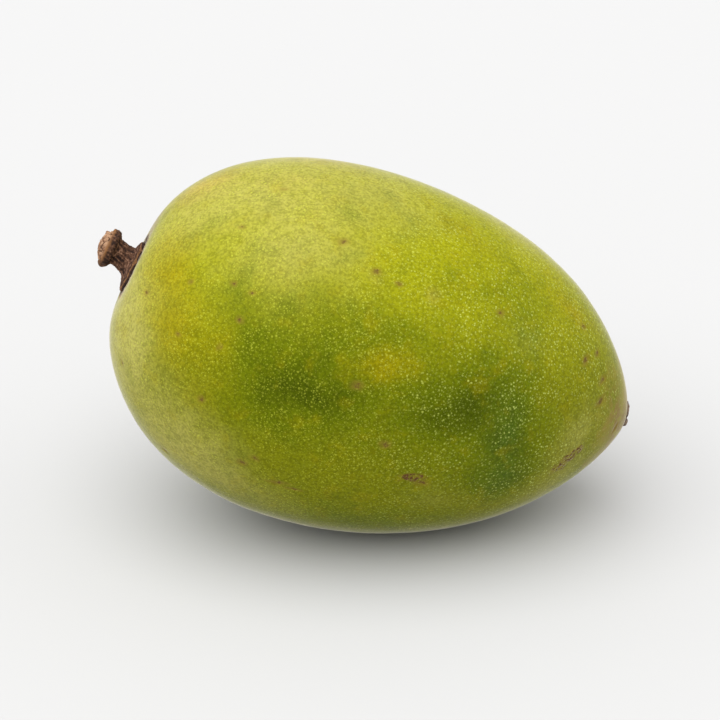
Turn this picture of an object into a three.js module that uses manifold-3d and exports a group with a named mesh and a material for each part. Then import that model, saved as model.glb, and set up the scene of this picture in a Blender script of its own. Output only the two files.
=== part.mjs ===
// A whole pawpaw lying on its side: the fruit, the stub of its woody stalk, and the dry scar of the flower's style.
// Millimetres, +Z up. +X runs from the stalk towards the tip, and the XZ plane is the plane of symmetry.
// The origin is the centre of the small flat spot that the fruit rests on.
import * as THREE from "three";
import { mergeVertices } from "three/addons/utils/BufferGeometryUtils.js";
import Module from "manifold-3d";

const wasm = await Module();
wasm.setup();

// The fruit is an egg about an axis that dips towards the tip. An angle runs along it, 0 at the stalk and pi at
// the tip: the half-length times its cosine gives the place along the axis, and the radius times its sine the
// girth. The harmonics then broaden the stalk end and draw the tip to a blunt point.
const HALF_LENGTH = 59.9;
const LENGTH_HARMONIC_3 = -0.057;
const RADIUS = 35.3;
const GIRTH_HARMONICS = [1, 0.105, -0.097, 0.004, -0.0137];
const SIDE_TO_HEIGHT = 0.98;
const AXIS_DIP = THREE.MathUtils.degToRad(14.7);
const SPINE_RISE = 1.99;
const SPINE_RISE_HARMONIC = 1.6;

// The hollow at the stalk end, above the axis, that the stalk grows from.
const HOLLOW_DEPTH = 2.37;
const HOLLOW_RADIUS = 9.24;
const HOLLOW_ABOVE_AXIS = 7.7;

// The flat spot: how high the egg's own centre is above the surface it rests on, and how far the spot's centre is
// from it towards the tip.
const CENTRE_HEIGHT = 36.48;
const FLAT_AHEAD = 3.6;

const GRID = 20; // cells along each side of the cube that is blown up into the fruit
const GAP = 0.3; // between the fruit and the two pieces that sit on it

// Stalk: heights are along its own axis, which stands square to the skin in the middle of the hollow.
const STALK_THETA = THREE.MathUtils.degToRad(13.7);
const STALK_LENGTH = 8.8;
const STALK_ROOT = -1.6; // its flange follows the hollow down to here before the fruit cuts it
const FLANGE_RADIUS = 5.9;
const FLANGE_TOP = 1.2;
const NECK_RADIUS = 2.6;
const NECK_HEIGHT = 3.8;
const KNOB_RADIUS = 4.0;
const KNOB_HEIGHT = 6.4;
const STALK_LEAN = 1.6; // how far the knob stands above the flange's centre line
const KNOB_LUMPS = 5;
const KNOB_LUMP_SHARE = 0.06;
const STALK_SIDES = 36;

// Style scar at the tip: a thin ring of dry tissue round a pit.
const SCAR_THETA = THREE.MathUtils.degToRad(175.5);
const SCAR_RADIUS = 2.7;
const SCAR_PROUD = 0.75;
const SCAR_PIT_RADIUS = 1.1;
const SCAR_PIT_HEIGHT = 0.45;
const SCAR_SIDES = 20;

// A point of the skin, from the angle along the axis and the angle round it, which is 0 at the top.
function skinPoint(theta, around) {
  const along = Math.cos(theta);
  const girth = RADIUS * GIRTH_HARMONICS.reduce((sum, share, i) => sum + share * Math.sin((i + 1) * theta), 0);
  const above = girth * Math.cos(around);
  const side = SIDE_TO_HEIGHT * girth * Math.sin(around);
  const fromHollow = Math.hypot(above - HOLLOW_ABOVE_AXIS, side) / HOLLOW_RADIUS;
  const hollow = along > 0 ? HOLLOW_DEPTH * Math.exp(-(fromHollow ** 2)) : 0;
  const ahead = hollow - HALF_LENGTH * (along + LENGTH_HARMONIC_3 * Math.cos(3 * theta));
  const spine = (SPINE_RISE + SPINE_RISE_HARMONIC * Math.cos(2 * theta)) * Math.sin(theta) ** 2;
  const point = new THREE.Vector3(ahead, side, above + spine);
  point.applyAxisAngle(new THREE.Vector3(0, 1, 0), AXIS_DIP);
  return point.add(new THREE.Vector3(-FLAT_AHEAD, 0, CENTRE_HEIGHT));
}

// A cube's surface blown up to the fruit's, which has no poles, and pressed flat where it would pass the ground.
function fruitGeometry() {
  const cube = new THREE.BoxGeometry(2, 2, 2, GRID, GRID, GRID);
  cube.deleteAttribute("normal");
  cube.deleteAttribute("uv");
  const geometry = mergeVertices(cube);
  const position = geometry.attributes.position;
  const even = (share) => Math.tan((share * Math.PI) / 4); // spreads the cells evenly over the fruit
  for (let i = 0; i < position.count; i++) {
    const way = new THREE.Vector3(...[0, 1, 2].map((axis) => even(position.getComponent(i, axis)))).normalize();
    const point = skinPoint(Math.acos(-way.x), Math.atan2(way.y, way.z));
    position.setXYZ(i, point.x, point.y, Math.max(point.z, 0));
  }
  geometry.computeVertexNormals();
  return geometry;
}

// The fruit's surface moved out by the gap, which trims the pieces that sit on it.
function clearanceGeometry() {
  const geometry = fruitGeometry();
  const { position, normal } = geometry.attributes;
  for (let i = 0; i < position.count; i++) {
    const point = new THREE.Vector3().fromBufferAttribute(position, i);
    point.addScaledVector(new THREE.Vector3().fromBufferAttribute(normal, i), GAP);
    position.setXYZ(i, point.x, point.y, point.z);
  }
  return geometry;
}

function toSolid(geometry) {
  const bare = geometry.clone();
  bare.deleteAttribute("normal");
  bare.deleteAttribute("uv");
  const merged = mergeVertices(bare, 1e-4);
  const vertProperties = merged.attributes.position.array;
  return new wasm.Manifold(new wasm.Mesh({ numProp: 3, vertProperties, triVerts: merged.index.array }));
}

function toGeometry(solid) {
  const mesh = solid.getMesh();
  const geometry = new THREE.BufferGeometry();
  geometry.setAttribute("position", new THREE.BufferAttribute(mesh.vertProperties, 3));
  geometry.setIndex(new THREE.BufferAttribute(mesh.triVerts, 1));
  geometry.computeVertexNormals();
  return geometry;
}

// Stands a piece's +Z square to the skin on the plane of symmetry, with the piece's +X pointing up the fruit.
function standOnSkin(geometry, theta) {
  const step = 0.02;
  const alongSkin = skinPoint(theta + step, 0).sub(skinPoint(theta - step, 0)).normalize();
  const outwards = new THREE.Vector3(-alongSkin.z, 0, alongSkin.x);
  const across = new THREE.Vector3().crossVectors(outwards, alongSkin);
  const frame = new THREE.Matrix4().makeBasis(alongSkin, across, outwards);
  frame.setPosition(skinPoint(theta, 0));
  return geometry.applyMatrix4(frame);
}

function trimmedByFruit(geometry) {
  return toGeometry(toSolid(geometry).subtract(toSolid(clearanceGeometry())));
}

// A profile of [radius, height] points turned about +Z.
function turned(profile, sides) {
  const points = profile.map(([radius, height]) => new THREE.Vector2(radius, height));
  return new THREE.LatheGeometry(points, sides).rotateX(Math.PI / 2);
}

function stalkGeometry() {
  const neckFoot = NECK_HEIGHT - 1.5;
  const knobFoot = NECK_HEIGHT + 0.9;
  const profile = [
    [0, STALK_ROOT],
    [FLANGE_RADIUS - 0.6, STALK_ROOT],
    [FLANGE_RADIUS, FLANGE_TOP - 0.8],
    [FLANGE_RADIUS - 0.1, FLANGE_TOP - 0.3],
    [FLANGE_RADIUS - 0.7, FLANGE_TOP],
    [NECK_RADIUS + 1.3, FLANGE_TOP + 0.35],
    [NECK_RADIUS + 0.4, neckFoot],
    [NECK_RADIUS, NECK_HEIGHT - 0.6],
    [NECK_RADIUS + 0.05, NECK_HEIGHT],
    [NECK_RADIUS + 0.4, knobFoot],
    [KNOB_RADIUS - 0.3, knobFoot + 0.5],
    [KNOB_RADIUS, KNOB_HEIGHT - 0.4],
    [KNOB_RADIUS, KNOB_HEIGHT + 0.3],
    [KNOB_RADIUS - 0.5, KNOB_HEIGHT + 0.9],
    [KNOB_RADIUS - 1.6, STALK_LENGTH - 0.6],
    [KNOB_RADIUS - 3, STALK_LENGTH - 0.1],
    [0, STALK_LENGTH],
  ];
  const geometry = turned(profile, STALK_SIDES);
  const position = geometry.attributes.position;
  for (let i = 0; i < position.count; i++) {
    const height = position.getZ(i);
    const angle = Math.atan2(position.getY(i), position.getX(i));
    const inKnob = THREE.MathUtils.smoothstep(height, NECK_HEIGHT, KNOB_HEIGHT);
    const lump = 1 + KNOB_LUMP_SHARE * inKnob * Math.cos(KNOB_LUMPS * angle + 1);
    const lean = STALK_LEAN * THREE.MathUtils.smoothstep(height, 0, KNOB_HEIGHT);
    position.setXYZ(i, position.getX(i) * lump + lean, position.getY(i) * lump, height);
  }
  return trimmedByFruit(standOnSkin(geometry, STALK_THETA));
}

function scarGeometry() {
  const profile = [
    [0, -1],
    [SCAR_RADIUS - 0.5, -1],
    [SCAR_RADIUS, SCAR_PROUD - 0.45],
    [SCAR_RADIUS - 0.3, SCAR_PROUD - 0.1],
    [SCAR_RADIUS - 0.8, SCAR_PROUD],
    [SCAR_PIT_RADIUS, SCAR_PROUD - 0.05],
    [SCAR_PIT_RADIUS - 0.5, SCAR_PIT_HEIGHT],
    [0, SCAR_PIT_HEIGHT],
  ];
  return trimmedByFruit(standOnSkin(turned(profile, SCAR_SIDES), SCAR_THETA));
}

const skinMaterial = new THREE.MeshStandardMaterial({ color: 0x93992f, roughness: 0.5, metalness: 0 });
const barkMaterial = new THREE.MeshStandardMaterial({ color: 0x5f4033, roughness: 0.9, metalness: 0 });
const scarMaterial = new THREE.MeshStandardMaterial({ color: 0x4a3428, roughness: 0.95, metalness: 0 });

function namedMesh(name, geometry, material) {
  const mesh = new THREE.Mesh(geometry, material);
  mesh.name = name;
  return mesh;
}

const pawpaw = new THREE.Group();
pawpaw.add(
  namedMesh("fruit", fruitGeometry(), skinMaterial),
  namedMesh("stalk", stalkGeometry(), barkMaterial),
  namedMesh("style_scar", scarGeometry(), scarMaterial),
);

export default pawpaw;
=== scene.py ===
"""A whole pawpaw lying on its side: skin, woody stalk stub and dry style scar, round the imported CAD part.

Lengths in the shape functions are millimetres in the row frame: +Z up, +X from the stalk towards the tip,
origin in the middle of the flat spot that the fruit rests on."""
import math

import bpy
import numpy as np
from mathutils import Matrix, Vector, noise
from mathutils.bvhtree import BVHTree


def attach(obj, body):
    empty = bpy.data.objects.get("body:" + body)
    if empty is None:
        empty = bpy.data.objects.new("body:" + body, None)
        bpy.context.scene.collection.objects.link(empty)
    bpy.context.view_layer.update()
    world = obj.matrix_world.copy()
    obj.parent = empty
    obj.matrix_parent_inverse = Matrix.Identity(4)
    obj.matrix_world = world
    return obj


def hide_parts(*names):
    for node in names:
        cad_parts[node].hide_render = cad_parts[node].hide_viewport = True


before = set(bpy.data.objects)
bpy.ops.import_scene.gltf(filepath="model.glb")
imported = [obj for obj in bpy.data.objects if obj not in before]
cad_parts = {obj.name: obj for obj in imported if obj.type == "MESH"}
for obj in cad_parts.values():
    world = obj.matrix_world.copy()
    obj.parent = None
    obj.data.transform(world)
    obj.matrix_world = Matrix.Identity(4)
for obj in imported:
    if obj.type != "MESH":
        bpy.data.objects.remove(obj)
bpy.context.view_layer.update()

MM = 0.001

# ------------------------------------------------------------ the fruit's form, as in the CAD part

HALF_LENGTH = 59.9
LENGTH_HARMONIC_3 = -0.057
RADIUS = 35.3
GIRTH_HARMONICS = (1, 0.105, -0.097, 0.004, -0.0137)
SIDE_TO_HEIGHT = 0.98
AXIS_DIP = math.radians(14.7)
SPINE_RISE = 1.99
SPINE_RISE_HARMONIC = 1.6
HOLLOW_DEPTH = 2.37
HOLLOW_RADIUS = 9.24
HOLLOW_ABOVE_AXIS = 7.7
CENTRE_HEIGHT = 36.48
FLAT_AHEAD = 3.6
STALK_THETA = math.radians(13.7)
SCAR_THETA = math.radians(175.5)


def skin_point(theta, around):
    """Points of the skin: theta runs from 0 at the stalk to pi at the tip, around from 0 on top."""
    along = np.cos(theta)
    girth = RADIUS * sum(share * np.sin((i + 1) * theta) for i, share in enumerate(GIRTH_HARMONICS))
    above = girth * np.cos(around)
    side = SIDE_TO_HEIGHT * girth * np.sin(around)
    from_hollow = np.hypot(above - HOLLOW_ABOVE_AXIS, side) / HOLLOW_RADIUS
    hollow = np.where(along > 0, HOLLOW_DEPTH * np.exp(-(from_hollow**2)), 0)
    ahead = hollow - HALF_LENGTH * (along + LENGTH_HARMONIC_3 * np.cos(3 * theta))
    up = above + (SPINE_RISE + SPINE_RISE_HARMONIC * np.cos(2 * theta)) * np.sin(theta) ** 2
    x = ahead * math.cos(AXIS_DIP) + up * math.sin(AXIS_DIP) - FLAT_AHEAD
    z = -ahead * math.sin(AXIS_DIP) + up * math.cos(AXIS_DIP) + CENTRE_HEIGHT
    return np.stack([x, side, z], -1)


def skin_normal(theta, around):
    step = 0.004
    near_axis = np.clip(theta, 2 * step, math.pi - 2 * step)
    down_length = skin_point(near_axis + step, around) - skin_point(near_axis - step, around)
    round_girth = skin_point(near_axis, around + step) - skin_point(near_axis, around - step)
    normal = np.cross(down_length, round_girth)
    return normal / np.linalg.norm(normal, axis=-1, keepdims=True)


# ---------------------------------------------------------------- mesh helpers


def cube_sphere(cells):
    """Directions of a cube's surface blown up to a sphere, and its quads. It has no poles."""
    share = np.linspace(-1, 1, cells + 1)
    even = np.tan(share * math.pi / 4)
    index, ways, quads = {}, [], []

    def vertex(key):
        if key not in index:
            index[key] = len(ways)
            way = np.array([even[k] for k in key])
            ways.append(way / np.linalg.norm(way))
        return index[key]

    for axis in range(3):
        for end in (0, cells):
            for i in range(cells):
                for j in range(cells):
                    corners = [(i, j), (i + 1, j), (i + 1, j + 1), (i, j + 1)]
                    if end == 0:
                        corners.reverse()
                    quad = []
                    for a, b in corners:
                        key = [a, b]
                        key.insert(axis, end)
                        if axis == 1:
                            key = [b, end, a]
                        quad.append(vertex(tuple(key)))
                    quads.append(quad)
    return np.array(ways), quads


def fractal(points, wavelength, octaves=3, offset=0.0):
    """Smooth noise of about -1 to 1 at each point; the wavelength is in the points' own unit."""
    shift = Vector((offset, 2.3 * offset, -1.7 * offset))
    return np.array([noise.fractal(Vector(p) / wavelength + shift, 1.0, 2.0, octaves) for p in points])


def smoothstep(low, high, value):
    t = np.clip((value - low) / (high - low), 0, 1)
    return t * t * (3 - 2 * t)


def make_piece(name, points_mm, quads, material, node):
    mesh = bpy.data.meshes.new(name)
    mesh.from_pydata((np.asarray(points_mm) * MM).tolist(), [], quads)
    mesh.update()
    mesh.polygons.foreach_set("use_smooth", [True] * len(mesh.polygons))
    piece = bpy.data.objects.new(name, mesh)
    bpy.context.scene.collection.objects.link(piece)
    mesh.materials.append(material)
    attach(piece, "root")
    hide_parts(node)
    return piece


# ---------------------------------------------------------------- material helper


class Material:
    """A node material, with short ways to add and link its nodes. Wavelengths and widths are in metres."""

    def __init__(self, name):
        self.material = bpy.data.materials.new(name)
        self.material.use_nodes = True
        self.tree = self.material.node_tree
        self.shader = self.tree.nodes["Principled BSDF"]
        self.place = self.add("ShaderNodeTexCoord").outputs["Object"]

    def add(self, kind, inputs=None, **settings):
        node = self.tree.nodes.new(kind)
        for key, value in settings.items():
            setattr(node, key, value)
        for key, value in (inputs or {}).items():
            if isinstance(value, bpy.types.NodeSocket):
                self.tree.links.new(value, node.inputs[key])
            else:
                node.inputs[key].default_value = value
        return node

    def share(self, name):
        """A share from 0 to 1 that the mesh stores at its points."""
        return self.add("ShaderNodeAttribute", attribute_name=name).outputs["Fac"]

    def noise(self, wavelength, detail=2.0, roughness=0.5, place=None):
        inputs = {"Vector": place or self.place, "Scale": 1 / wavelength}
        inputs.update({"Detail": detail, "Roughness": roughness})
        return self.add("ShaderNodeTexNoise", inputs).outputs["Fac"]

    def math(self, operation, a, b=0.0, c=0.0):
        return self.add("ShaderNodeMath", {0: a, 1: b, 2: c}, operation=operation).outputs[0]

    def times(self, a, b):
        return self.math("MULTIPLY", a, b)

    def uneven(self, value, by, amount):
        """The value, pushed up and down by a noise."""
        return self.math("MULTIPLY_ADD", self.math("SUBTRACT", by, 0.5), amount, value)

    def vector(self, operation, a, b, output="Vector"):
        return self.add("ShaderNodeVectorMath", {0: a, 1: b}, operation=operation).outputs[output]

    def step(self, value, low, high, start=0.0, end=1.0):
        """Runs smoothly from start to end as the value goes from low to high."""
        inputs = {"Value": value, "From Min": low, "From Max": high, "To Min": start, "To Max": end}
        return self.add("ShaderNodeMapRange", inputs, interpolation_type="SMOOTHSTEP").outputs["Result"]

    def mix(self, share, a, b, blend="MIX"):
        """Colour a, moved towards b by the share."""
        a, b = ((*c, 1) if isinstance(c, tuple) else c for c in (a, b))
        node = self.add("ShaderNodeMix", {"Factor": share}, data_type="RGBA", blend_type=blend)
        for key, value in ((6, a), (7, b)):
            if isinstance(value, bpy.types.NodeSocket):
                self.tree.links.new(value, node.inputs[key])
            else:
                node.inputs[key].default_value = value
        return node.outputs[2]

    def bump(self, height, distance, strength=1.0):
        inputs = {"Height": height, "Distance": distance, "Strength": strength}
        return self.add("ShaderNodeBump", inputs).outputs["Normal"]

    def finish(self, colour, roughness, normal, **constants):
        for key, value in (("Base Color", colour), ("Roughness", roughness), ("Normal", normal)):
            if isinstance(value, bpy.types.NodeSocket):
                self.tree.links.new(value, self.shader.inputs[key])
            else:
                self.shader.inputs[key].default_value = value
        for key, value in constants.items():
            self.shader.inputs[key.replace("_", " ")].default_value = value
        return self.material


# ---------------------------------------------------------------- skin

SKIN_CELLS = 128

# Soft areas of another colour. Each is a theta and an angle down the front from the top, in degrees,
# then its radius along the fruit and round it, in millimetres, and its strength.
# A minus angle is on the back.
GREEN = (
    (78, 72, 24, 15, 0.42), (105, 82, 22, 16, 0.45), (76, 82, 9, 5.5, 0.7), (83, 79, 5, 4, 0.45),
    (71, 84, 5, 4, 0.45), (79, 66, 6, 5, 0.15), (77, 57, 5, 5, 0.15), (99, 80, 6, 5, 0.4),
    (105, 76, 6, 5, 0.5), (112, 68, 6, 6, 0.25), (113, 87, 6, 7, 0.6), (114, 107, 7, 6, 0.5),
    (120, 100, 5, 6, 0.4), (73, 94, 8, 4, 0.3), (60, 60, 7, 6, 0.2), (92, 128, 22, 7, 0.4),
    (66, 70, 5, 4, 0.3), (90, 57, 6, 4, 0.25), (82, -58, 17, 9, 0.45), (98, -88, 20, 9, 0.5),
    (104, 68, 7, 6, 0.5), (100, 38, 13, 7, 0.2), (112, 34, 9, 8, 0.28), (103, 18, 10, 8, 0.18),
    (85, 20, 14, 7, 0.15), (58, -100, 12, 7, 0.4), (122, -50, 10, 6, 0.35), (116, -112, 8, 12, 0.35),
    (90, 172, 30, 18, 0.5), (90, -75, 30, 20, 0.4),
)
BLUE_GREEN = (
    (112, 84, 5, 9, 0.7), (114, 104, 5, 7, 0.7), (104, 62, 6, 5, 0.25), (111, 42, 8, 5, 0.4),
    (113, 54, 9, 9, 0.25), (80, 116, 10, 4, 0.3), (108, -78, 8, 7, 0.4), (72, -118, 10, 8, 0.3),
)
OCHRE = (
    (88, 70, 6, 4.5, 0.75), (92, 66, 6, 4, 0.4), (43, 55, 8, 8, 0.8), (49, 78, 8, 8, 0.65),
    (40, 38, 7, 7, 0.5), (122, 25, 8, 4, 0.7), (98, 18, 8, 5, 0.5), (59, 95, 7, 5, 0.35),
    (60, 74, 5, 5, 0.4), (102, 44, 8, 4, 0.25), (62, -30, 12, 8, 0.7), (95, -70, 10, 7, 0.6),
    (45, -90, 9, 9, 0.6), (128, -100, 9, 8, 0.5),
)
# Pale skin, partly painted sheen: the patches along the left flank, on the stalk's shoulder and along the
# top rim stand for grazing reflection at the outline.
PALE_AND_RIM_SHEEN = (
    (58, 18, 22, 12, 0.7), (80, 12, 18, 9, 0.4), (40, 25, 9, 9, 0.5), (72, 36, 12, 9, 0.45),
    (110, -4, 12, 7, 0.5), (55, 128, 14, 10, 0.5), (128, 118, 10, 8, 0.4), (112, 48, 6, 6, 0.3),
    (87, 16, 13, 9, 0.25), (70, -15, 24, 12, 0.6), (30, 98, 10, 18, 0.95), (56, 128, 12, 8, 0.4),
    (67, 126, 12, 6, 0.5), (53, 110, 8, 8, 0.35), (131, 82, 8, 8, 0.35), (68, 50, 13, 10, 0.4),
    (24, 60, 8, 10, 0.75), (78, 128, 12, 6, 0.35), (104, 112, 9, 6, 0.3), (131, 92, 7, 7, 0.2),
    (72, -4, 26, 6, 0.45), (63, 112, 10, 8, 0.4),
)
BLUSH = (
    (47, 0, 10, 9, 0.9), (94, 46, 4, 3, 0.6), (66, 12, 9, 5, 0.4), (106, 43, 3, 2, 0.4),
    (84, 44, 3, 3, 0.4), (72, -12, 14, 8, 0.5), (110, -20, 10, 6, 0.4),
)


def masks_from(patches, points, axis, wobble):
    """How much of a set of soft patches each point has, from 0 to 1."""
    bare = np.ones(len(points))
    for theta, down, along_radius, round_radius, strength in patches:
        centre = skin_point(np.radians(theta), np.radians(-down))
        away = points + wobble - centre
        along = away @ axis
        across = np.sqrt(np.maximum((away**2).sum(1) - along**2, 0))
        bare *= 1 - strength * np.exp(-((along / along_radius) ** 2) - (across / round_radius) ** 2)
    return 1 - bare


# Small brown marks: theta, angle down the front, half-length and half-width in millimetres, and how far
# the long side turns from the fruit's length, in degrees.
SPECKS = (
    (70, 113, 1.0, 0.8, 0), (72, 109, 0.9, 0.7, 0), (77, 116, 2.2, 0.5, 15), (80, 117, 1.8, 0.4, 10),
    (78, 35, 1.1, 0.8, 20), (84, 42, 1.0, 0.8, 0), (88, 44, 0.8, 0.6, 0), (106, 43, 0.9, 0.7, 40),
    (126, 28, 1.0, 0.7, 50), (128, 45, 1.5, 0.8, 70), (132, 36, 1.2, 0.7, 60), (136, 49, 1.5, 0.8, 50),
    (92, 92, 1.1, 0.8, 0), (85, 76, 1.2, 0.9, 0), (100, 105, 1.4, 0.8, 0), (59, 96, 0.8, 0.7, 0),
    (50, 77, 0.7, 0.5, 0), (63, 66, 0.8, 0.7, 0), (60, 55, 0.7, 0.6, 0), (50, 56, 0.7, 0.5, 0),
    (59, 34, 0.7, 0.5, 0), (64, 57, 0.7, 0.5, 0), (66, 16, 0.8, 0.5, 0), (36, 63, 0.8, 0.6, 0),
    (60, 76, 0.8, 0.5, 60), (152, 86, 1.6, 0.6, 60), (137, 63, 1.8, 1.0, 40), (32, 113, 0.8, 0.6, 0),
    (54, 136, 0.9, 0.6, 0), (64, -40, 1.3, 0.9, 30), (90, -85, 1.5, 1.0, 0), (112, -60, 1.1, 0.8, 0),
    (75, -110, 1.4, 0.6, 20), (130, -30, 1.4, 0.8, 50), (48, -60, 1.0, 0.7, 0), (100, -20, 0.9, 0.7, 0),
    (86, 168, 1.6, 0.9, 20), (118, 150, 1.2, 0.8, 10),
)
CORKY_SCARS = (
    (130, 102, 3.4, 1.7, 40), (134, 96, 1.2, 1.0, 50), (98, 103, 2.6, 1.2, 5), (70, -80, 2.2, 1.0, 25),
    (115, -112, 1.8, 0.9, -20),
)


def marks_from(marks, points, axis, wobble):
    """1 in the middle of the nearest mark, 0 at its edge and down to -1 away from it."""
    field = np.full(len(points), -1.0)
    for theta, down, half_length, half_width, turn in marks:
        centre = skin_point(np.radians(theta), np.radians(-down))
        normal = skin_normal(np.radians(theta), np.radians(-down))
        along_way = axis - (axis @ normal) * normal
        along_way /= np.linalg.norm(along_way)
        across_way = np.cross(normal, along_way)
        turned = math.radians(turn)
        away = points + wobble - centre
        u, v = away @ along_way, away @ across_way
        along = (u * math.cos(turned) + v * math.sin(turned)) / half_length
        across = (v * math.cos(turned) - u * math.sin(turned)) / half_width
        through = (away @ normal) / half_length
        field = np.maximum(field, 1 - np.sqrt(along**2 + across**2 + through**2))
    return np.clip(field, -1, 1)


# Russet skin scattered round the tip. On the hollow's far shoulder the russet also stands in for painted
# shade on the hollow's far wall.
RUSSET_AND_HOLLOW_SHADE = (
    (26, -2, 2.2, 4, 0.9), (27, -28, 2.4, 4, 1.0), (30, -14, 2.5, 4, 0.8), (31, -44, 2.2, 4, 0.7),
    (150, 66, 5, 4, 0.62), (143, 52, 4, 4, 0.5), (159, 80, 4, 5, 0.62), (164, 30, 4, 5, 0.5),
    (152, 110, 4, 5, 0.45), (148, -70, 5, 5, 0.5), (160, -130, 5, 5, 0.5),
)

TIP_AXIS = np.array([math.cos(AXIS_DIP), 0, -math.sin(AXIS_DIP)])
FLAT_EDGE = 0.15  # how softly the skin turns in to the flat spot
NEAR_GROUND = 1.5  # below this height the skin's lumps fade out


def make_skin():
    ways, quads = cube_sphere(SKIN_CELLS)
    theta = np.arccos(np.clip(-ways[:, 0], -1, 1))
    around = np.arctan2(ways[:, 1], ways[:, 2])
    points = skin_point(theta, around)
    normal = skin_normal(theta, around)
    wobble = 2.6 * np.stack([fractal(points, 11, 2, shift) for shift in (3.1, 7.7, 12.9)], 1)
    small_wobble = 0.45 * np.stack([fractal(points, 1.6, 2, shift) for shift in (1.3, 5.9, 9.4)], 1)
    corky = marks_from(CORKY_SCARS, points, TIP_AXIS, small_wobble * 1.7)
    specks = marks_from(SPECKS, points, TIP_AXIS, small_wobble * 0.8)
    hollow_middle = skin_point(STALK_THETA, 0.0)
    from_stalk = np.linalg.norm(points - hollow_middle, axis=1)
    from_tip = np.linalg.norm(points - skin_point(SCAR_THETA, 0.0), axis=1)
    shares = {
        "green": masks_from(GREEN, points, TIP_AXIS, wobble),
        "blue_green": masks_from(BLUE_GREEN, points, TIP_AXIS, wobble),
        "ochre": masks_from(OCHRE, points, TIP_AXIS, wobble),
        "pale_and_sheen": masks_from(PALE_AND_RIM_SHEEN, points, TIP_AXIS, wobble),
        "blush": masks_from(BLUSH, points, TIP_AXIS, wobble),
        # Lighter and yellower where the skin faces up: partly a riper tone, partly painted light from above.
        "ripe_and_lit_top": smoothstep(0.1, 0.95, normal[:, 2] * 0.72 + 0.2 + 0.12 * fractal(points, 22, 2, 4.4)),
        "speck": specks,
        "cork": corky,
        # Brown cork in the stalk's hollow, darkened partly as painted shade of the hollow.
        "hollow_cork_and_shade": smoothstep(9.5, 6.0, from_stalk + 1.2 * fractal(points, 3, 3, 8.2)),
        "russet_and_hollow_shade": masks_from(RUSSET_AND_HOLLOW_SHADE, points, TIP_AXIS, wobble * 0.6),
        # Painted shade in the crevice where the skin meets the stalk's flange.
        "stalk_crevice_shade": smoothstep(7.3, 6.6, from_stalk + 0.3 * fractal(points, 1.5, 2, 3.7)),
        "tip_tan": smoothstep(27, 2, from_tip + 5 * fractal(points, 7, 3, 2.8)),
    }
    lumps = 0.12 * fractal(points, 17, 2, 6.6) + 0.022 * fractal(points, 2.4, 2, 1.9)
    scars = 0.10 * smoothstep(-0.1, 0.4, corky) * (0.6 + 0.8 * fractal(points, 0.9, 2, 3.3))
    pits = -0.12 * smoothstep(-0.2, 0.6, specks)
    hollow_rim = 0.16 * smoothstep(0.2, 0.8, shares["hollow_cork_and_shade"]) * fractal(points, 1.5, 3, 5.1)
    moved = np.clip(points[:, 2] / NEAR_GROUND, 0, 1)
    points = points + normal * (moved * (lumps + scars + pits + hollow_rim))[:, None]
    points[:, 2] = 0.5 * (points[:, 2] + np.sqrt(points[:, 2] ** 2 + FLAT_EDGE**2))
    skin = make_piece("pawpaw_skin", points, quads, skin_material(), "fruit")
    store(skin, shares)
    return skin


DOT_SPACING = 0.88 * MM
DOT_RADIUS = 0.19 * MM
FINE_DOT_SPACING = 0.55 * MM
FINE_DOT_RADIUS = 0.11 * MM

# YELLOW_GREEN is the colour where the skin faces up, and holds painted light from above as well as the riper
# tone.
YELLOW_GREEN = (0.255, 0.256, 0.004)
LEAF_GREEN = (0.150, 0.159, 0.002)
MID_GREEN_COLOUR = (0.096, 0.121, 0.001)
DEEP_GREEN_COLOUR = (0.041, 0.058, 0.0005)
BLUE_GREEN_COLOUR = (0.058, 0.098, 0.007)
OCHRE_COLOUR = (0.238, 0.196, 0.001)
PALE_SKIN_AND_SHEEN = (0.328, 0.302, 0.070)
BLUSH_COLOUR = (0.370, 0.270, 0.055)
TIP_OLIVE = (0.245, 0.215, 0.022)
TIP_BROWN = (0.215, 0.130, 0.035)
DOT_COLOUR = (0.530, 0.570, 0.055)
TIP_DOT_COLOUR = (0.550, 0.620, 0.160)
MARK_BROWN = (0.090, 0.040, 0.016)
SMUDGE = (0.185, 0.125, 0.020)
CORK_BROWN = (0.200, 0.120, 0.055)
CORK_PALE = (0.420, 0.320, 0.170)
# STALK_CREVICE_SHADE is the colour of painted shade in the crevice round the stalk.
STALK_CREVICE_SHADE = (0.035, 0.018, 0.010)


def lenticels(m, spacing, size):
    """Pale dots, one for each cell of a Voronoi pattern, measured along the skin and not through it."""
    warped = m.vector("ADD", m.place, m.vector("MULTIPLY", noise_colour(m, 1.5 * MM), (0.7 * MM,) * 3))
    cells = m.add("ShaderNodeTexVoronoi", {"Vector": warped, "Scale": 1 / spacing})
    away = m.vector("SUBTRACT", warped, cells.outputs["Position"])
    square = m.vector("DOT_PRODUCT", away, away, "Value")
    normal = m.add("ShaderNodeTexCoord").outputs["Normal"]
    through = m.vector("DOT_PRODUCT", away, normal, "Value")
    flat_square = m.math("SUBTRACT", square, m.times(through, through))
    along_skin = m.math("SQRT", m.math("MAXIMUM", flat_square, 0))
    luck = m.add("ShaderNodeSeparateColor", {0: cells.outputs["Color"]}).outputs
    radius = m.times(m.math("MULTIPLY_ADD", luck[0], 0.5, 0.7), size)
    dot = m.step(m.math("DIVIDE", along_skin, radius), 1.35, 0.35)
    deep = m.step(m.math("ABSOLUTE", through), 0.52 * spacing, 0.32 * spacing)
    strength = m.math("MULTIPLY_ADD", luck[1], 0.8, 0.35)
    return m.times(m.times(dot, deep), strength)


def noise_colour(m, wavelength):
    return m.add("ShaderNodeTexNoise", {"Vector": m.place, "Scale": 1 / wavelength}).outputs["Color"]


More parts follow.
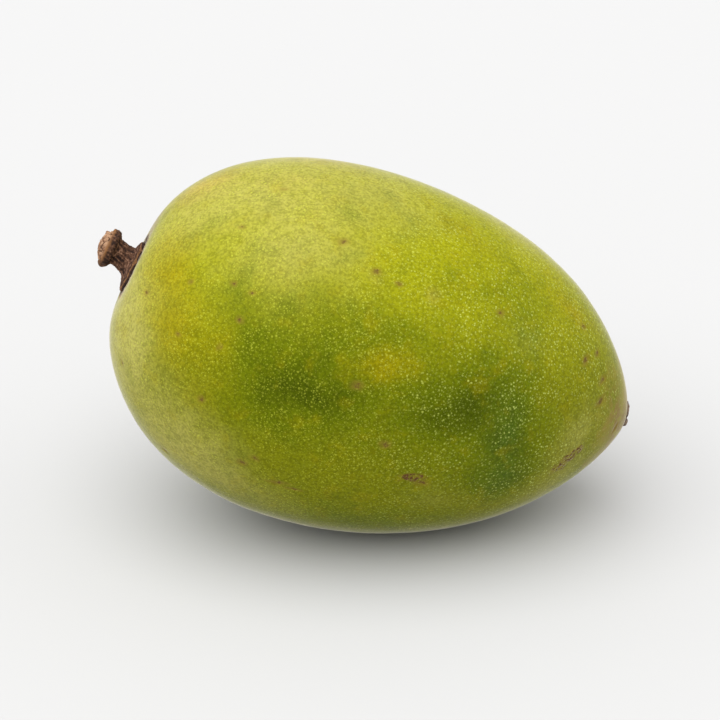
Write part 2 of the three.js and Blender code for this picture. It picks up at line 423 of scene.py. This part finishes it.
def dotted(m, colour):
    """The colour with both sizes of dot on it, and the dots. They are whiter and denser towards the tip."""
    ahead = m.step(m.add("ShaderNodeSeparateXYZ", {0: m.place}).outputs[0], -20 * MM, 25 * MM)
    dot_colour = m.mix(ahead, DOT_COLOUR, TIP_DOT_COLOUR)
    fading = m.math("MULTIPLY_ADD", ahead, -0.6, 1.0)
    fine_dots = m.times(lenticels(m, FINE_DOT_SPACING, FINE_DOT_RADIUS), fading)
    dots = m.math("MAXIMUM", lenticels(m, DOT_SPACING, DOT_RADIUS), fine_dots)
    crowd = m.step(m.noise(9 * MM, 2), 0.35, 0.62, 0.18, 0.42)
    crowd = m.times(crowd, m.math("MULTIPLY_ADD", ahead, 0.35, 0.9))
    return m.mix(m.times(dots, crowd), colour, dot_colour), dots


def skin_material():
    m = Material("skin")
    blotch = m.noise(7 * MM, 4, 0.6)
    mottle = m.noise(1.7 * MM, 3, 0.6)
    grain = m.noise(0.55 * MM, 2)

    def broken(name, low, high):
        """A stored share whose edge is broken up by noise."""
        return m.step(m.uneven(m.uneven(m.share(name), blotch, 0.5), mottle, 0.35), low, high)

    # Painted light from above: the skin turns from LEAF_GREEN to the paler YELLOW_GREEN where it faces up,
    # over a riper tone there.
    colour = m.mix(broken("ripe_and_lit_top", 0.0, 1.0), LEAF_GREEN, YELLOW_GREEN)
    # Pale skin, partly painted sheen along the outline.
    colour = m.mix(broken("pale_and_sheen", 0.0, 1.1), colour, PALE_SKIN_AND_SHEEN)
    colour = m.mix(broken("blush", 0.15, 1.3), colour, BLUSH_COLOUR)
    colour = m.mix(broken("green", 0.0, 0.62), colour, MID_GREEN_COLOUR)
    colour = m.mix(broken("green", 0.42, 0.95), colour, DEEP_GREEN_COLOUR)
    colour = m.mix(broken("ochre", 0.1, 1.1), colour, OCHRE_COLOUR)
    colour = m.mix(broken("blue_green", 0.1, 1.1), colour, BLUE_GREEN_COLOUR)
    cloud = m.noise(4.5 * MM, 3, 0.55, m.vector("ADD", m.place, (0.3, 0.1, 0.2)))
    colour = m.mix(m.step(blotch, 0.5, 0.72, 0.0, 0.3), colour, MID_GREEN_COLOUR)
    colour = m.mix(m.step(cloud, 0.52, 0.72, 0.0, 0.3), colour, OCHRE_COLOUR)
    dark = m.step(m.math("MULTIPLY_ADD", grain, 0.7, m.times(mottle, 0.3)), 0.36, 0.62, 0.8, 1.16)
    grey = m.add("ShaderNodeCombineColor", {0: dark, 1: dark, 2: dark}).outputs[0]
    colour = m.mix(1.0, colour, grey, "MULTIPLY")
    colour, dots = dotted(m, colour)
    colour = m.mix(broken("tip_tan", 0.05, 1.1), colour, TIP_OLIVE)
    tip_dust = m.times(m.step(m.share("tip_tan"), 0.1, 0.75), m.step(cloud, 0.36, 0.7))
    tip_dust = m.times(tip_dust, m.step(mottle, 0.36, 0.64, 0.25, 1.0))
    colour = m.mix(m.times(tip_dust, 0.85), colour, TIP_BROWN)
    edge = m.uneven(m.share("speck"), grain, 1.3)
    colour = m.mix(m.step(edge, -0.75, 0.5, 0.0, 0.5), colour, SMUDGE)
    colour = m.mix(m.step(edge, 0.25, 0.75, 0.0, 0.75), colour, MARK_BROWN)
    cork_area = m.step(m.uneven(m.share("cork"), mottle, 1.4), -0.35, 0.35)
    flecks = m.step(m.noise(0.7 * MM, 3, 0.6), 0.47, 0.58)
    cork = m.times(cork_area, flecks)
    colour = m.mix(m.times(cork_area, 0.5), colour, SMUDGE)
    crumbs = m.mix(m.step(grain, 0.5, 0.75), MARK_BROWN, CORK_BROWN)
    colour = m.mix(m.times(cork, 0.95), colour, crumbs)
    # Cork in the stalk's hollow, partly painted shade of the hollow.
    hollow_cork_and_shade = broken("hollow_cork_and_shade", 0.3, 0.9)
    colour = m.mix(hollow_cork_and_shade, colour, m.mix(m.step(mottle, 0.4, 0.65), CORK_BROWN, CORK_PALE))
    # Russet, which on the hollow's far shoulder is partly painted shade.
    russet_and_hollow_shade = m.mix(m.step(mottle, 0.4, 0.62), CORK_BROWN, SMUDGE)
    ragged = m.uneven(m.share("russet_and_hollow_shade"), grain, 0.8)
    colour = m.mix(m.times(m.step(ragged, 0.15, 0.9), m.step(mottle, 0.38, 0.58)), colour, russet_and_hollow_shade)
    # Painted shade: a dark ring in the crevice round the stalk.
    colour = m.mix(m.times(m.share("stalk_crevice_shade"), 0.9), colour, STALK_CREVICE_SHADE)
    rough = m.math("ADD", 0.46, m.times(m.math("MAXIMUM", cork, hollow_cork_and_shade), 0.4))
    height = m.math("ADD", m.times(dots, 0.5), m.times(mottle, 0.6))
    height = m.math("ADD", height, m.times(m.times(cork, grain), 3.0))
    normal = m.bump(height, 0.06 * MM, 0.6)
    sheen = {"Sheen_Weight": 0.6, "Sheen_Roughness": 0.22, "Sheen_Tint": (1, 0.95, 0.86, 1)}
    return m.finish(colour, rough, normal, IOR=1.1, **sheen)


# ------------------------------------------------------------ turned pieces that stand on the skin


def standing_frame(theta):
    """Foot on the plane of symmetry, and the ways up the fruit, across it (+Y) and outwards."""
    step = 0.02
    up_fruit = skin_point(theta + step, 0.0) - skin_point(theta - step, 0.0)
    up_fruit /= np.linalg.norm(up_fruit)
    outwards = np.array([-up_fruit[2], 0, up_fruit[0]])
    return skin_point(theta, 0.0), np.stack([up_fruit, np.cross(outwards, up_fruit), outwards])


def even_profile(profile, steps):
    """A profile of (radius, height) resampled at even steps along a rounded line through it."""
    line = np.array(profile, float)
    for _ in range(3):
        cut = [line[0]]
        for a, b in zip(line[:-1], line[1:]):
            cut += [0.75 * a + 0.25 * b, 0.25 * a + 0.75 * b]
        line = np.array(cut + [line[-1]])
    length = np.concatenate([[0], np.cumsum(np.linalg.norm(np.diff(line, axis=0), axis=1))])
    even = np.linspace(0, length[-1], steps)
    return np.stack([np.interp(even, length, line[:, 0]), np.interp(even, length, line[:, 1])], 1)


def turned_grid(profile, sides, steps):
    """Radius, height, angle and outward slope at each point of a turned profile, and the faces."""
    line = even_profile(profile, steps)[1:-1]
    slope = np.gradient(line, axis=0)
    slope = np.stack([slope[:, 1], -slope[:, 0]], 1)
    slope /= np.linalg.norm(slope, axis=1, keepdims=True)
    angle = np.linspace(0, 2 * math.pi, sides, endpoint=False)
    rows = len(line)
    grid = {
        "radius": np.repeat(line[:, 0], sides),
        "height": np.repeat(line[:, 1], sides),
        "angle": np.tile(angle, rows),
        "slope": np.repeat(slope, sides, axis=0),
    }
    faces = []
    for r in range(rows - 1):
        for i in range(sides):
            j = (i + 1) % sides
            faces.append((r * sides + i, r * sides + j, (r + 1) * sides + j, (r + 1) * sides + i))
    faces.append(tuple(reversed(range(sides))))
    faces.append(tuple((rows - 1) * sides + i for i in range(sides)))
    return grid, faces


def unit_ring(grid):
    return np.stack([np.cos(grid["angle"]), np.sin(grid["angle"])], 1)


FOOT_TOP = 1.5  # only points below this height can be under the skin
CAST_HEIGHT = 8


def sink_into_skin(local, foot, ways, skin, depth):
    """Raises the points that lie far under the skin to just below it, so that the piece follows the skin."""
    tree = BVHTree.FromObject(skin, bpy.context.evaluated_depsgraph_get())
    inwards = Vector(-ways[2])
    for i in np.nonzero(local[:, 2] < FOOT_TOP)[0]:
        start = Vector((foot + local[i, 0] * ways[0] + local[i, 1] * ways[1] + CAST_HEIGHT * ways[2]) * MM)
        distance = tree.ray_cast(start, inwards)[3]
        if distance is not None:
            local[i, 2] = max(local[i, 2], CAST_HEIGHT - distance / MM - depth)
    return local


def store(piece, shares):
    for name, values in shares.items():
        layer = piece.data.attributes.new(name, "FLOAT", "POINT")
        layer.data.foreach_set("value", np.asarray(values, np.float32))


# ---------------------------------------------------------------- stalk

STALK_SIDES = 320
STALK_STEPS = 232
STALK_PROFILE = (
    (0.3, -1.4), (4.4, -1.4), (5.7, -0.6), (5.95, 0.35), (5.75, 0.85), (5.1, 1.1), (3.9, 1.3), (3.1, 1.8),
    (2.8, 2.6), (2.65, 3.6), (2.65, 4.5), (2.8, 5.1), (3.3, 5.35), (3.7, 5.5), (3.9, 5.9), (3.95, 6.7),
    (3.85, 7.1), (3.3, 7.2), (3.1, 7.3), (3.2, 7.45), (2.5, 8.05), (1.4, 8.6), (0.3, 8.8),
)
STALK_LEAN = 1.35
KNOB_FOOT = 5.1
LIP_GROOVE_RADIUS = 5.15
# Lumps that break the knob's round outline: angle round the stalk in degrees (0 up the fruit), height,
# size in millimetres along and across, and how far each stands out.
KNOB_LUMPS = (
    (180, 6.4, 1.5, 1.1, 0.7), (205, 6.5, 1.2, 0.8, 0.5), (8, 6.2, 1.2, 0.9, 0.1),
    (-35, 6.3, 1.0, 0.7, 0.2), (-80, 6.3, 1.2, 0.7, 0.15), (-125, 6.4, 1.0, 0.8, 0.3),
    (60, 6.2, 1.2, 0.8, 0.25), (110, 6.4, 1.1, 0.8, 0.3), (5, 8.0, 0.4, 0.35, 0.55),
    (185, 7.5, 0.5, 0.6, -0.6), (-10, 7.35, 0.5, 0.7, -0.4), (-60, 8.0, 0.9, 0.8, 0.2),
)


def make_stalk(skin):
    grid, faces = turned_grid(STALK_PROFILE, STALK_SIDES, STALK_STEPS)
    radius, height, angle = grid["radius"], grid["height"], grid["angle"]
    ring = unit_ring(grid)
    flat = np.concatenate([ring * radius[:, None], height[:, None]], 1)
    along_grain = flat * (1, 1, 0.16)
    ridges = 1 - 2 * np.abs(fractal(along_grain, 0.85, 3, 2.2))
    warts = fractal(flat, 0.5, 3, 7.1)
    lumps = fractal(flat, 2.2, 2, 4.7)
    in_neck = smoothstep(1.4, 2.4, height) * smoothstep(5.9, 5.0, height)
    in_knob = smoothstep(KNOB_FOOT, KNOB_FOOT + 0.6, height)
    end_face = smoothstep(7.0, 7.35, height + 0.2 * lumps)
    on_flange = smoothstep(2.1, 1.4, height)
    cracks = np.abs(fractal(flat * (1, 1, 0.6), 1.7, 3, 9.3))
    groove = np.exp(-(((radius - LIP_GROOVE_RADIUS) / 0.22) ** 2)) * on_flange * (height > 0.9)
    out = 0.2 * in_neck * (ridges - 0.3) + 0.13 * warts + 0.16 * lumps * in_knob
    out += 0.10 * on_flange * ridges - 0.28 * groove * (0.7 + 0.6 * lumps)
    out -= 0.22 * end_face * smoothstep(0.12, 0.0, cracks)
    out += 0.10 * end_face * fractal(flat, 0.9, 2, 3.9)
    for turn, at, along, across, proud in KNOB_LUMPS:
        apart = np.radians((np.degrees(angle) - turn + 180) % 360 - 180) * np.maximum(radius, 1)
        out += proud * np.exp(-((apart / across) ** 2) - ((height - at) / along * 1.6) ** 2)
    lean = STALK_LEAN * smoothstep(0, 6.4, height)
    rim = radius + 0.2 * lumps
    # Painted shade: the flange's outer side is darkened where it meets the skin.
    under_rim_shade = smoothstep(5.72, 5.86, rim) * on_flange
    oval = 1 + on_flange * (0.03 * np.cos(3 * angle + 1.0) - 0.14 * np.maximum(np.cos(angle), 0) ** 2)
    local = np.concatenate([ring * (radius * oval + out * grid["slope"][:, 0])[:, None], height[:, None]], 1)
    local[:, 2] += out * grid["slope"][:, 1]
    local[:, 0] += lean
    foot, ways = standing_frame(STALK_THETA)
    local = sink_into_skin(local, foot, ways, skin, 0.12)
    points = foot + local @ ways
    stalk = make_piece("pawpaw_stalk", points, faces, bark_material(), "stalk")
    store(stalk, {
        "raised": np.clip(0.22 + 0.4 * warts + 0.5 * ridges - 0.13 * in_knob, 0, 1),
        "end_face": end_face,
        # Painted shade: darker in the lip's groove, under the flange's rim and in the end face's cracks.
        "bark_crack_shade": np.maximum.reduce([groove, under_rim_shade, end_face * smoothstep(0.12, 0.0, cracks)]),
        # Painted highlight along the knob's rim edge, in the lip's ochre.
        "knob_rim_highlight": np.exp(-(((height - 7.0) / 0.28) ** 2)) * in_knob * (0.6 + 0.8 * lumps),
        "lip": smoothstep(5.3, 5.5, rim) * smoothstep(5.85, 5.7, rim) * on_flange,
    })
    return stalk


BARK_DARK = (0.022, 0.010, 0.007)
BARK_MID = (0.080, 0.036, 0.019)
BARK_PALE = (0.270, 0.145, 0.090)
END_MID = (0.150, 0.068, 0.034)
END_PALE = (0.380, 0.225, 0.130)
LIP_OCHRE = (0.200, 0.090, 0.030)


def bark_material():
    m = Material("bark")
    fine = m.noise(0.35 * MM, 3, 0.6)
    coarse = m.noise(1.4 * MM, 3, 0.6)
    raised = m.math("ADD", m.times(m.share("raised"), 0.75), m.times(fine, 0.35))
    bark = m.mix(m.step(raised, 0.3, 0.55), BARK_DARK, BARK_MID)
    bark = m.mix(m.times(m.step(raised, 0.62, 0.8), 0.75), bark, BARK_PALE)
    end = m.mix(m.step(m.math("ADD", fine, coarse), 0.75, 1.2), END_MID, END_PALE)
    colour = m.mix(m.share("end_face"), bark, end)
    worn = m.step(m.math("MULTIPLY_ADD", fine, 0.5, coarse), 0.55, 0.9, 0.1, 0.85)
    lip = m.times(m.share("lip"), worn)
    # The lip's own ochre colour, and a painted highlight along the knob's rim edge in the same ochre.
    colour = m.mix(m.math("MAXIMUM", lip, m.share("knob_rim_highlight")), colour, LIP_OCHRE)
    # Painted shade in the groove and cracks and under the flange's rim, in the bark's dark colour.
    colour = m.mix(m.times(m.share("bark_crack_shade"), 0.85), colour, BARK_DARK)
    return m.finish(colour, 0.85, m.bump(fine, 0.08 * MM, 0.8), IOR=1.3)


# ---------------------------------------------------------------- style scar

SCAR_PROFILE = (
    (0.1, -1.2), (2.2, -1.2), (2.6, -0.5), (2.6, -0.2), (2.3, 0.0), (1.6, 0.06), (1.1, 0.0), (0.8, -0.1),
    (0.1, -0.12),
)
# Dry scales on the ring: angle in degrees (0 towards the ground), width in degrees, and how far each
# stands out. The last is a gap.
SCAR_SCALES = (
    (-18, 22, 0.45), (-118, 20, 0.1), (-158, 18, 0.15), (150, 22, 0.1), (70, 24, 0.25), (-75, 16, -0.35),
)


def make_scar(skin):
    grid, faces = turned_grid(SCAR_PROFILE, 200, 120)
    radius, height, angle = grid["radius"], grid["height"], grid["angle"]
    ring = unit_ring(grid)
    flat = np.concatenate([ring * radius[:, None], height[:, None]], 1)
    crumble = fractal(flat, 0.7, 3, 6.2)
    scales = np.zeros(len(radius))
    for turn, width, proud in SCAR_SCALES:
        apart = (np.degrees(angle) - turn + 180) % 360 - 180
        scales += proud * np.exp(-((apart / width) ** 2))
    out = 0.12 * crumble + smoothstep(0.9, 1.9, radius) * scales
    local = np.concatenate([ring * (radius + out * grid["slope"][:, 0])[:, None], height[:, None]], 1)
    local[:, 2] += out * grid["slope"][:, 1]
    foot, ways = standing_frame(SCAR_THETA)
    local = sink_into_skin(local, foot, ways, skin, 0.1)
    points = foot + local @ ways
    scar = make_piece("pawpaw_style_scar", points, faces, scar_material(), "style_scar")
    store(scar, {"raised": np.clip(0.5 + 0.9 * crumble + 0.3 * scales, 0, 1)})
    return scar


SCAR_DARK = (0.040, 0.019, 0.017)
SCAR_GREY = (0.190, 0.135, 0.095)


def scar_material():
    m = Material("dry_scar")
    fine = m.noise(0.3 * MM, 3, 0.6)
    patchy = m.noise(1.6 * MM, 2)
    share = m.math("ADD", m.times(m.share("raised"), 0.5), m.times(patchy, 0.6))
    colour = m.mix(m.step(m.math("MULTIPLY_ADD", fine, 0.3, share), 0.45, 0.95), SCAR_DARK, SCAR_GREY)
    return m.finish(colour, 0.8, m.bump(fine, 0.07 * MM, 0.8), IOR=1.3)


# ---------------------------------------------------------------- studio

CAMERA_AIM = Vector((-6.38, 0, 35.79)) * MM
CAMERA_DISTANCE = 384 * MM
CAMERA_ELEVATION = math.radians(25)


def make_camera():
    data = bpy.data.cameras.new("camera")
    data.lens = 90
    data.sensor_width = 36
    data.clip_start = 0.01
    data.clip_end = 50
    camera = bpy.data.objects.new("camera", data)
    bpy.context.scene.collection.objects.link(camera)
    away = Vector((0, -math.cos(CAMERA_ELEVATION), math.sin(CAMERA_ELEVATION)))
    camera.location = CAMERA_AIM + away * CAMERA_DISTANCE
    camera.rotation_euler = (math.pi / 2 - CAMERA_ELEVATION, 0, 0)
    bpy.context.scene.camera = camera


def make_floor():
    half = 6.0
    corners = [(-half, -half, 0), (half, -half, 0), (half, half, 0), (-half, half, 0)]
    mesh = bpy.data.meshes.new("floor")
    mesh.from_pydata(corners, [], [(0, 1, 2, 3)])
    floor = bpy.data.objects.new("floor", mesh)
    bpy.context.scene.collection.objects.link(floor)
    material = bpy.data.materials.new("floor")
    material.use_nodes = True
    shader = material.node_tree.nodes["Principled BSDF"]
    shader.inputs["Base Color"].default_value = (0.5, 0.499, 0.4985, 1)
    shader.inputs["Roughness"].default_value = 1.0
    shader.inputs["Specular IOR Level"].default_value = 0.0
    mesh.materials.append(material)


WORLD_STRENGTH = 0.92
# Soft lights: name, strength, then how wide its disc is, its elevation and its azimuth, in degrees.
LIGHTS = (
    ("overhead", 2.87, 75, 65, 240),
    ("left", 0.6, 60, 20, 185),
    ("right", 0.45, 60, 20, -5),
)


def make_light(name, strength, spread, elevation, azimuth):
    data = bpy.data.lights.new(name, "SUN")
    data.energy = strength
    data.angle = math.radians(spread)
    light = bpy.data.objects.new(name, data)
    up, turn = math.radians(elevation), math.radians(azimuth)
    towards = Vector((math.cos(up) * math.cos(turn), math.cos(up) * math.sin(turn), math.sin(up)))
    light.rotation_euler = towards.to_track_quat("Z", "Y").to_euler()
    bpy.context.scene.collection.objects.link(light)


def make_studio():
    scene = bpy.context.scene
    scene.view_settings.view_transform = "Standard"
    world = bpy.data.worlds.new("studio")
    world.use_nodes = True
    background = world.node_tree.nodes["Background"]
    background.inputs["Color"].default_value = (1, 1, 1, 1)
    background.inputs["Strength"].default_value = WORLD_STRENGTH
    scene.world = world
    for light in LIGHTS:
        make_light(*light)


skin = make_skin()
make_stalk(skin)
make_scar(skin)
make_camera()
make_floor()
make_studio()
